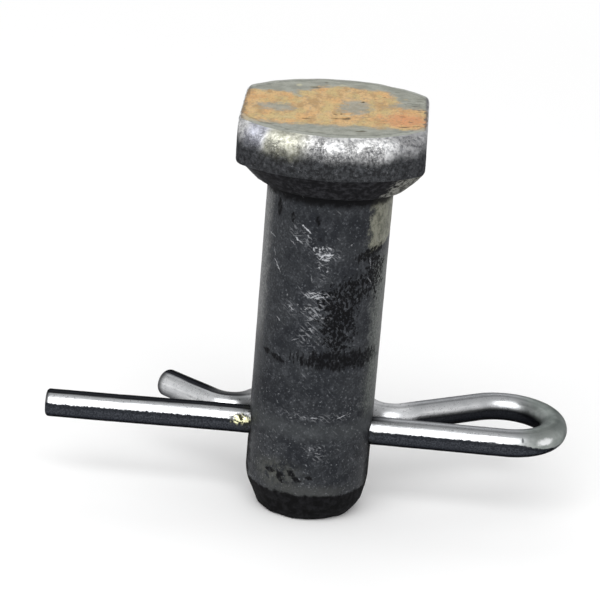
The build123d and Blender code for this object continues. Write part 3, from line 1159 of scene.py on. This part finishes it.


# %% [markdown]
# ** The handled shank** is dark satin steel. Its grain is faint, and its history sits on top: a
# black mottled field, a dark ring where a bracket edge rubbed, and a handful of bright scuffs.
# Both sides carry painted sheen, warm near the collar, and a ring of painted shade lies under
# the shoulder. Below the shank the nose keeps its black scale. One shader can't hold all the
# marks, so the shank is three bands, each with the marks that reach it.

# %% Material: shank
STEEL_DARK, STEEL_LIGHT = (37, 39, 43), (51, 53, 56)
SHANK_ZONES = {  # lowest and highest height in mm
    "upper_shank": (26.4, 60.0),
    "middle_shank": (16.6, 26.4),
    "lower_shank": (-5.0, 16.6),
}
SCRATCHES = [  # start round and up, end round and up, width in mm, strength
    (-2.35, 32.1, -1.4, 31.45, 0.15, 1.0), (-1.75, 31.25, -1.5, 30.95, 0.1, 0.6),
    (-3.0, 30.7, -2.65, 30.45, 0.13, 0.9), (-3.6, 30.3, -2.95, 29.95, 0.09, 0.5),
    (-2.75, 30.5, -2.15, 30.2, 0.09, 0.5), (-5.5, 27.8, -4.55, 26.65, 0.1, 0.75),
    (-5.75, 28.9, -5.45, 28.1, 0.08, 0.4), (-6.6, 30.2, -5.7, 30.05, 0.09, 0.5),
    (-1.05, 30.0, -0.85, 29.6, 0.13, 0.9), (-0.9, 30.0, -0.6, 30.05, 0.1, 0.8),
    (-0.5, 30.05, -0.35, 29.8, 0.11, 0.85), (-0.1, 30.15, -0.15, 29.85, 0.1, 0.85),
    (0.15, 30.1, 0.4, 29.8, 0.1, 0.8), (0.45, 30.15, 0.75, 29.85, 0.1, 0.8),
    (-0.3, 28.9, 0.15, 29.4, 0.14, 1.0), (0.15, 29.3, 1.05, 29.4, 0.17, 1.0),
    (-0.05, 28.8, 0.6, 28.85, 0.16, 1.0), (0.25, 29.05, 0.8, 29.1, 0.12, 0.8),
    (-1.15, 25.2, -0.45, 25.3, 0.1, 0.8), (-0.95, 24.75, -0.1, 25.15, 0.1, 0.9),
    (-0.6, 24.7, 0.45, 24.95, 0.1, 0.85), (-0.3, 25.35, 0.2, 25.3, 0.08, 0.6),
    (-1.6, 24.95, -0.85, 24.7, 0.08, 0.6), (-3.1, 23.45, -2.5, 23.1, 0.09, 0.7),
    (-1.45, 23.4, -1.1, 23.7, 0.09, 0.5), (-0.5, 23.15, -0.25, 22.75, 0.09, 0.6),
    (-0.2, 23.15, 0.1, 22.75, 0.09, 0.6), (0.25, 22.65, 0.65, 22.75, 0.09, 0.45),
    (-4.5, 21.9, -4.05, 21.6, 0.1, 0.75), (-0.8, 21.4, -0.35, 21.1, 0.09, 0.55),
    (-0.95, 21.5, -0.25, 21.35, 0.09, 0.55), (-2.45, 19.95, -1.9, 20.2, 0.09, 0.5),
    (-1.0, 27.0, -0.9, 26.3, 0.08, 0.35), (5.05, 26.8, 5.7, 26.05, 0.08, 0.4),
    (5.1, 28.85, 5.4, 27.8, 0.07, 0.35), (-0.65, 11.95, -0.3, 11.9, 0.08, 0.55),
    (0.15, 11.95, 0.8, 11.95, 0.08, 0.7), (2.8, 11.9, 3.75, 12.2, 0.09, 0.75),
    (-2.05, 11.6, -1.8, 11.7, 0.08, 0.4), (0.25, 8.7, 0.25, 8.3, 0.09, 0.5),
    (0.8, 8.25, 1.2, 8.0, 0.09, 0.5), (-0.45, 29.6, -0.35, 29.6, 0.2, 1.0),
    (-0.35, 28.0, -0.25, 28.0, 0.22, 0.9), (0.45, 27.65, 0.55, 27.65, 0.18, 0.7),
    (0.0, 28.25, 0.1, 28.25, 0.14, 0.5), (-3.5, 24.55, -3.4, 24.55, 0.2, 0.4),
    (-2.25, 23.8, -2.15, 23.8, 0.15, 0.4), (2.7, 30.35, 2.85, 30.45, 0.12, 0.5),
]
DARK_MARKS = [  # as above
    (-3.5, 33.1, -3.45, 32.3, 0.5, 0.9), (-0.85, 33.2, -0.7, 32.4, 0.5, 0.6),
    (-0.6, 31.0, -0.3, 30.8, 0.5, 0.4), (-5.4, 34.2, -5.3, 32.4, 0.6, 0.8),
    (-4.3, 5.5, -3.3, 5.45, 0.55, 0.85), (-2.9, 5.7, -2.4, 4.5, 0.7, 0.85),
    (-1.8, 5.85, -1.15, 5.4, 0.55, 0.8), (-1.2, 5.2, -0.5, 4.9, 0.55, 0.75),
    (0.1, 5.4, 0.8, 5.25, 0.4, 0.75), (-6.2, 18.05, -4.9, 17.8, 0.45, 1.0),
    (-4.9, 17.8, -3.3, 17.45, 0.55, 1.0),
]
RUBBED_AREAS = [  # round, up, half width, half height, turn in degrees, strength
    (-2.3, 30.9, 1.6, 0.7, -35.0, 0.2), (0.2, 29.3, 1.3, 0.7, 0.0, 0.55),
    (0.0, 27.5, 0.7, 1.4, 0.0, 0.15), (-0.4, 25.0, 1.5, 0.4, 0.0, 0.4),
    (-0.4, 23.2, 1.2, 1.3, 0.0, 0.35), (-3.0, 23.4, 1.2, 0.7, -35.0, 0.2),
    (-0.9, 20.8, 1.0, 1.2, 0.0, 0.25), (0.6, 12.0, 3.4, 0.4, 0.0, 0.2),
    (0.9, 8.2, 1.0, 0.8, 0.0, 0.25),
]
BLACK_FIELDS = [  # as above
    (3.2, 25.3, 3.2, 1.5, 22.0, 0.85), (2.1, 22.6, 1.9, 2.6, 0.0, 1.0),
    (2.3, 20.4, 1.5, 1.4, 0.0, 0.8), (6.3, 27.3, 1.5, 2.3, 10.0, 0.85),
]
DARK_BAND = [
    (2.9, 18.15, 4.9, 0.95, 0.0, 1.0), (5.2, 29.35, 2.0, 0.5, 14.0, 1.0),
]
STAIN = (-3.3, 5.4, 2.7, 1.4)
# The two sides and the warm patch are painted sheen.
RIGHT_SIDE, LEFT_SIDE, WARM_SIDE = (5.4, 7.2), (-6.0, -7.6), (4.5, 5.5)  # mm round
RIGHT_HEIGHTS, LEFT_HEIGHTS, WARM_HEIGHTS = (10.5, 13.0, 27.0, 30.0), (17.0, 22.0), (27.75, 28.0)
# Near-black low on both sides, round the hole.
DARK_LOW_SIDE, DARK_LOW_HEIGHTS = (7.0, 8.8), (11.2, 9.4)
FOOT_HEIGHTS, RING_HEIGHTS, NOSE_HEIGHTS = (4.9, 3.8), (34.0, 34.7), (3.5, 3.15)
PALE_LINE_HEIGHT = 10.4
RAGGED_ROOM, SCRATCH_ROOM = 1.8, 0.8  # in half sizes, and in mm


def patches_near(table, low, high):
    """The patches that reach into a band of heights, with room for their ragged edge."""
    reach = [RAGGED_ROOM * max(row[2:4]) for row in table]
    return [row for row, room in zip(table, reach) if low - room < row[1] < high + room]


def scratches_near(table, low, high):
    """The scratches that reach into a band of heights, with room for their width."""
    low, high = low - SCRATCH_ROOM, high + SCRATCH_ROOM
    return [row for row in table if max(row[1], row[3]) > low and min(row[1], row[3]) < high]


def scuffs(label, turn, scale, stretch, cut):
    """Strokes at an angle in degrees."""
    return use(SCUFFS, Place=label, Turn=math.radians(turn), Scale=scale, Stretch=stretch, Cut=cut)


def handled_shank(name, low_end, high_end):
    """Dark satin steel with placed scratches, black fields and bands, and a black nose. Only
    the marks between the two heights are drawn."""
    material, shader, place = start_material(name)
    zone = (low_end, high_end)
    label, _, height = use(UNROLLED, Coordinate=place)
    around = split(label)[0]
    loose = put("TexNoise", {"Vector": place, "Scale": 4200.0, "Detail": 2.0}, "Color")
    loose = scaled(vector("ADD", loose, (-0.5, -0.5, -0.5)), (0.4, 0.4, 0.0))
    bent = vector("ADD", loose, label)
    fine = speckled(place, 4200.0, 3.0, 0.65)
    middling = speckled(place, 1300.0, 4.0, 0.65)
    slow = speckled(place, 330.0, 4.0, 0.6)
    wander = middling - 0.5
    shake = wander * 2.2
    # zones: painted sheen on both sides and the warm patch by the collar, dark low sides, the foot
    side = wander * 3.0 + around
    away = abs(side)
    not_back = step(abs((slow - 0.5) * 16.0 + side), 14.5, 11.0)
    right = step(side, *RIGHT_SIDE) * not_back * band_pass(height, *RIGHT_HEIGHTS)
    left = step(side, *LEFT_SIDE) * not_back * step(height, *LEFT_HEIGHTS)
    slant = shake * 0.25 + (height - around * 0.28)
    warm = step(side, *WARM_SIDE) * not_back * step(slant, *WARM_HEIGHTS)
    dark_low = step(away, *DARK_LOW_SIDE) * step(height, *DARK_LOW_HEIGHTS)
    foot = step(height, *FOOT_HEIGHTS) * step(away, 6.0, 2.0)
    grained = step(fine, 0.36, 0.62)
    sheen_tone = blend(step(middling, 0.36, 0.6), (92, 93, 82), (128, 128, 115))
    sheen_tone = blend(step(fine, 0.5, 0.36) * 0.45, sheen_tone, (66, 66, 58))
    steel = coated(
        blend(step(slow, 0.36, 0.64), STEEL_DARK, STEEL_LIGHT),
        (step(middling, 0.5, 0.62) * 0.35, (74, 76, 80)),
        (step(fine, 0.52, 0.36) * 0.5, (28, 29, 32)),
        (step(fine, 0.58, 0.72) * 0.6, (98, 101, 106)),
        (step(fine, 0.62, 0.7) * (step(height, 17.5, 12.0) * 0.5 + 0.12), (128, 130, 132)),
        # painted sheen on the right and left sides and on the warm patch
        (right * 0.85, blend(grained, (62, 65, 64), (104, 107, 104))),
        (left * 0.85, blend(grained, (72, 73, 74), (120, 121, 121))),
        (warm * 0.9, sheen_tone),
        (step(abs(height - PALE_LINE_HEIGHT), 1.5, 0.2) * 0.3, (82, 85, 86)),
        (foot * 0.35, (92, 93, 90)),
    )
    if low_end < 0:
        stain = oval(label, *STAIN, softness=0.6, shake=shake) * step(middling, 0.36, 0.62)
        steel = blend(stain * 0.5, steel, (94, 95, 88))
    steel = blend(dark_low, steel, (15, 15, 16))
    # black marks: crumbs in the fields, the streaked band, spots, and painted shade in a ring under
    # the collar
    field = gathered(label, patches_near(BLACK_FIELDS, *zone), 0.55, shake)
    upright = speckled(scaled(bent, (1.0, 0.6, 1.0)), 3.7, 3.0, 0.6)
    crumbs = step(field * 0.2 + upright, 0.62, 0.65) * step(field, 0.02, 0.25)
    mottled = step(upright, 0.4, 0.5) * 0.55 + 0.45
    streaks = speckled(scaled(label, (1.0, 0.18, 1.0)), 3.4, 3.0, 0.6) - 0.5
    band = gathered(label, patches_near(DARK_BAND, *zone), 0.2, streaks * 2.6) * mottled
    spots = step(scratched(bent, scratches_near(DARK_MARKS, *zone)), 0.1, 0.5) * mottled
    ring = step(wander * 1.5 + height, *RING_HEIGHTS)
    black = most(most(crumbs, band, spots) * 0.95, ring * 0.95)
    # bright marks: scuffed areas, faint hairs everywhere, and the placed scratches
    area = gathered(label, patches_near(RUBBED_AREAS, *zone), 0.6, shake)
    crossed = most(scuffs(label, 36, 5.0, 4.5, 0.56), scuffs(label, -8, 5.5, 3.0, 0.58))
    hairs = scuffs(label, 42, 3.6, 5.0, 0.66) * 0.12
    placed = scratched(bent, scratches_near(SCRATCHES, *zone))
    scuff = clamped(most(clamped(area * crossed), hairs, placed))
    nose = step(wander * 0.8 + height, *NOSE_HEIGHTS)
    scale = blend(step(middling, 0.4, 0.65), (9, 9, 10), (25, 25, 27))
    colour = coated(steel, (black, (9, 9, 11)), (scuff, (190, 192, 196)), (nose, scale))
    matt = most(nose, dark_low, black * 0.6)
    shine = clamped(matt * 0.4 + (fine * 0.2 + 0.38 - scuff * 0.12))
    steely = 0.55 - matt * 0.55
    finish_surface(shader, colour, shine, steely, fine, 0.00005, Specular_IOR_Level=0.08)
    return material


# %% [markdown]
# ** The collar** is painted nearly black, for its scale and as painted shade under the head. A
# lighter grey patch on each side is painted sheen. Its finish runs from the shoulder to the rim's
# underside.

# %% Material: collar


def scaled_collar():
    """Near-black scale and painted shade, painted sheen on each side, painted shade at both ends.
    """
    material, shader, place = start_material("scaled_collar")
    label, radius, _ = use(UNROLLED, Coordinate=place)
    middling = speckled(place, 2000.0, 4.0, 0.65)
    side = (middling - 0.5) * 3.0 + split(label)[0]
    slow = speckled(place, 420.0, 3.0, 0.6) - 0.5
    not_back = step(abs(slow * 14.0 + side), 13.5, 10.5)
    # painted shade in the crease at the shoulder (root) and under the rim (neck)
    root = step(radius, SHOULDER_RADIUS + 0.25, SHOULDER_RADIUS - 0.1)
    neck = step(radius, COLLAR_RADIUS - 0.6, COLLAR_RADIUS - 0.2)
    # the lighter patches on the two sides are painted sheen
    sheen_tone = blend(step(middling, 0.4, 0.6), (46, 46, 43), (128, 128, 122))
    worn = blend(step(middling, 0.38, 0.6), (44, 45, 47), (116, 118, 120))
    colour = coated(
        # near-black base: scale and painted shade under the head
        blend(step(middling, 0.42, 0.68), (19, 19, 21), (44, 44, 47)),
        (step(side, 4.2, 5.4) * not_back * 0.9, sheen_tone),
        (step(side, -5.6, -7.0) * not_back * 0.85, worn),
        (most(root, neck) * 0.85, (9, 9, 10)),
    )
    finish_surface(shader, colour, 0.8, 0.0, middling, 0.00006, Specular_IOR_Level=0.04)
    return material


# %% [markdown]
# ** The drawn wire** is bright zinc over steel. Die lines run along it, so its patterns read the
# stored coordinate that holds the wire as if it were still straight. Light and shade are painted
# on it: painted shade on the underside, along the crown, on the loop's end and at the ends, and
# a painted glint on the loop. Yellow-green grease has gathered on the leg beside the shank.

# %% Material: wire
ZINC_DARK, ZINC_LIGHT = (204, 206, 208), (226, 227, 229)
# Marks on the wire as a flat strip: length along it, height on it and half sizes, all in mm.
# The glint is a painted highlight.
GLINT = (51.2, 0.45, 0.75, 0.32)
NICKS = [(46.3, 0.35, 0.5, 0.22), (49.1, 0.8, 0.1, 0.22)]
GREASE = (20.35, 0.4, 0.95, 0.5)
DIRT_SPAN = (20.0, 21.2, 33.0, 35.0)  # mm along the wire
NEAR_LEG, FAR_LEG = (0.8, -0.2), (2.0, 3.6)  # y that tells the straight leg from the bent one
HUG_REACH, FLARED_TIP = (11.5, 9.0), (-8.8, -10.8)  # x of the clip's parts
LOOP_TURN, LOOP_CROWN = (20.5, 23.6), (25.0, 26.6)


def drawn_wire():
    """Bright drawn wire with die lines, painted shade below and along the crown, and grease by the
    hole.
    """
    material, shader, place = start_material("drawn_wire")
    straight = stored("straight", "Vector")
    lines = speckled(scaled(straight, (0.05, 1.0, 1.0)), 3200.0, 3.0, 0.6)
    fine = speckled(straight, 3200.0, 4.0, 0.65)
    cloud = step(speckled(straight, 700.0, 3.0, 0.6), 0.36, 0.64)
    length, _, lift = split(scaled(straight, (1 / MM, 1 / MM, 1 / MM)))
    strip = joined(length, lift)
    rise = lift / WIRE_RADIUS
    across, behind, _ = split(scaled(place, (1 / MM, 1 / MM, 1 / MM)))
    # where on the clip
    near_leg, far_leg = step(behind, *NEAR_LEG), step(behind, *FAR_LEG)
    beside = step(abs(across), *HUG_REACH) * far_leg
    tip_here = step(across, *FLARED_TIP) * far_leg
    loop_here = step(across, *LOOP_TURN)
    ends = most(tip_here, step(across, *LOOP_CROWN))
    # painted shade along the eased edges of both ends
    shaded_ends = most(step(length, 0.5, 0.15), step(length, WIRE_LENGTH - 1.1, WIRE_LENGTH - 0.35))
    # bright top with painted shade: a grey upper side and a dark painted reflection along the crown
    streaky = (lines - 0.5) * 0.14 + rise
    # lighter takes some of the painted crown shade off the far leg beside the shank
    lighter = most(far_leg * step(across, -8.0, -5.0), step(across, 6.0, 9.0))
    zinc = coated(
        blend(cloud, ZINC_DARK, ZINC_LIGHT),
        (step(lines, 0.5, 0.72), (242, 243, 244)),
        (step(fine, 0.46, 0.34) * 0.3, (132, 134, 137)),
        (step(streaky, 0.5, 0.95) * ((1.0 - beside * 0.7) * 0.8), (170, 172, 175)),
        (step(streaky, 0.87, 0.93) * (0.98 - lighter * 0.55), (30, 31, 34)),
    )
    # painted shade on the underside, darker towards the bottom
    ragged = step(across, 21.0, 25.5) * 0.6 + ((fine - 0.5) * 0.3 + rise)
    soft = step(beside * 0.6 + rise, 0.6, 0.05)
    under = blend(far_leg, step(ragged, 0.35, 0.26), soft) * (1.0 - ends * 0.8)
    dots = speckled(straight, 6500.0, 3.0, 0.6)
    dark_low = coated(
        blend(step(dots, 0.4, 0.62), (44, 46, 51), (68, 71, 77)),
        (step(rise, -0.35, -0.8) * 0.85, (22, 23, 27)),
        (step(ragged, -0.05, 0.15) * 0.6, (26, 28, 32)),
        (far_leg * 0.8, (20, 21, 24)),
    )
    # marks
    shake = (fine - 0.5) * 3.0
    glint = oval(strip, *GLINT, softness=0.4, shake=shake * 0.4)
    nick = most(*(oval(strip, *mark) for mark in NICKS))
    dirt = band_pass(length, *DIRT_SPAN) * (step(fine, 0.46, 0.56) * near_leg)
    galled = oval(strip, *GREASE, softness=0.35, shake=shake) * near_leg
    blobs = speckled(place, 2600.0, 3.0, 0.6)
    colour = coated(
        zinc,
        # painted shade: the loop's end duller where its reflection fades, the flared tip darker
        # below
        (loop_here * 0.85, blend(cloud, (114, 121, 117), (134, 140, 136))),
        (step(rise, 0.35, -0.85) * tip_here * 0.85, (66, 67, 69)),
        (shaded_ends * 0.85, (34, 35, 38)),
        # painted shade on the underside
        (under, dark_low),
        # painted highlight
        (glint * 0.8, (244, 245, 246)),
        (nick * 0.8, (60, 62, 66)),
        (dirt * 0.8, (44, 45, 40)),
        (galled, blend(step(blobs, 0.44, 0.52), (48, 46, 30), (234, 233, 190))),
    )
    shine = fine * 0.16 + (loop_here * 0.12 + 0.21)
    bumps = blobs * galled * 6.0 + (lines + fine * 0.4)
    steely, tint = 0.95 - beside * 0.6, (0.3, 0.3, 0.31, 1)
    finish_surface(shader, colour, shine, steely, bumps, 0.00002, Specular_Tint=tint)
    return material


# %% [markdown]
# **Dressing.** The pin is one forging with several finishes. Each face takes the finish of the
# zone it lies in: the top face inside its edge, the rim with the flats and the underside, the
# collar and the shank. The borders run along real edges, so no seam shows.

# %% Put the finishes on
FACE_RADIUS = 10.93  # where the top face gives way to the bright rounding


def face_centres(mesh):
    """Centres and normals of all faces, centres in mm."""
    centres, normals = np.zeros(len(mesh.polygons) * 3), np.zeros(len(mesh.polygons) * 3)
    mesh.polygons.foreach_get("center", centres)
    mesh.polygons.foreach_get("normal", normals)
    return centres.reshape(-1, 3) / MM, normals.reshape(-1, 3)


def dress_pin(piece):
    """Gives each face of the pin its material: three on the shank, one each on the rest."""
    shank = [handled_shank(name, *heights) for name, heights in SHANK_ZONES.items()]
    for material in (*shank, forged_rim(), rusted_face(), scaled_collar()):
        piece.data.materials.append(material)
    centres, normals = face_centres(piece.data)
    upright = tilted(centres, tilt_matrix().T)
    level, radius = upright[:, 2], np.hypot(upright[:, 0], upright[:, 1])
    rim = level > UNDERSIDE - 0.1
    collar = (level > SHOULDER - 0.4) & (radius > ROOT_RADIUS - 0.3)
    top = (level > HEAD_TOP - 0.22) & (normals[:, 2] > 0.8) & (radius < FACE_RADIUS)
    borders = [low for low, _ in SHANK_ZONES.values()][:2]
    band = sum((centres[:, 2] < low).astype(np.int32) for low in borders)
    zone = np.where(top, 4, np.where(rim, 3, np.where(collar, 5, band))).astype(np.int32)
    piece.data.polygons.foreach_set("material_index", zone)
    print("faces per finish:", np.bincount(zone).tolist())


dress_pin(pin)
clip.data.materials.append(drawn_wire())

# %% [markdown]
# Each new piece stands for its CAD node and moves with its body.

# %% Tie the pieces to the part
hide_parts("clevis_pin")
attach(pin, "pin")
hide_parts("spring_clip")
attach(clip, "clip")

# %% [markdown]
# **The studio** is a pale floor, a soft world that is white at the horizon and dimmer overhead,
# a large soft lamp in front and a weak one behind. Bare steel shows what is round it, so the
# size of the front lamp is the width of the bright band on the wire and on the rim.

# %% Floor, world and lamps
FLOOR_HALF = 1500.0  # mm
SHADED_FLOOR = (0.13, 0.27)  # distances in m between which the floor's shading gives way to white
ZENITH_LIGHT = 0.6
WHITE = (1, 1, 1, 1)


def whiten_far(shader, place):
    """Shows the floor white beyond the object's shadow to what sees it, and leaves its light."""
    away = vector("LENGTH", place)
    rays = ("Is Camera Ray", "Is Glossy Ray", "Is Transmission Ray")
    outputs = put("LightPath").socket.node.outputs
    seen = most(*(Signal(outputs[ray]) for ray in rays))
    white = put("Emission", {"Color": WHITE, "Strength": 1.0})
    surface = shader.outputs[0].links[0].to_socket
    shares = {0: step(away, *SHADED_FLOOR) * seen, 1: Signal(shader.outputs[0]), 2: white}
    fill(surface, put("MixShader", shares))


def pale_floor():
    """A large square floor that reads white, and still takes the object's shadow."""
    corners = np.array([[-1, -1, 0], [1, -1, 0], [1, 1, 0], [-1, 1, 0]]) * FLOOR_HALF
    floor = mesh_object("floor", corners, [np.array([[0, 1, 2, 3]])])
    material, shader, place = start_material("pale_floor")
    finish_surface(shader, (247, 247, 247), 0.9, 0.0, Specular_IOR_Level=0.1)
    whiten_far(shader, place)
    floor.data.materials.append(material)


def soft_world():
    """White at the horizon and dimmer overhead: the strength falls with the height of the ray."""
    world = bpy.data.worlds.new("studio")
    world.use_nodes = True
    bpy.context.scene.world = world
    tree = work_on(world.node_tree)
    tree.nodes.clear()
    height = split(put("TexCoord", output="Generated"))[2]
    strength = 1.0 - step(height, 0.02, 0.75) * (1 - ZENITH_LIGHT)
    background = put("Background", {"Color": WHITE, "Strength": strength})
    fill(tree.nodes.new("ShaderNodeOutputWorld").inputs[0], background)


def softbox(name, place, size, power):
    """A square area lamp that looks at the middle of the pin. place and size in mm."""
    data = bpy.data.lights.new(name, "AREA")
    data.shape = "RECTANGLE"
    data.size, data.size_y = size[0] * MM, size[1] * MM
    data.energy = power
    lamp = add_object(name, data)
    lamp.location = Vector(place) * MM
    to_pin = Vector((0, 0, HEAD_TOP / 2 * MM)) - lamp.location
    lamp.rotation_euler = to_pin.to_track_quat("-Z", "Y").to_euler()


pale_floor()
soft_world()
softbox("front", (-60, -470, 430), (820, 620), 3.9)
softbox("back", (-120, 520, 430), (520, 300), 0.6)
bpy.context.scene.view_settings.view_transform = "Standard"
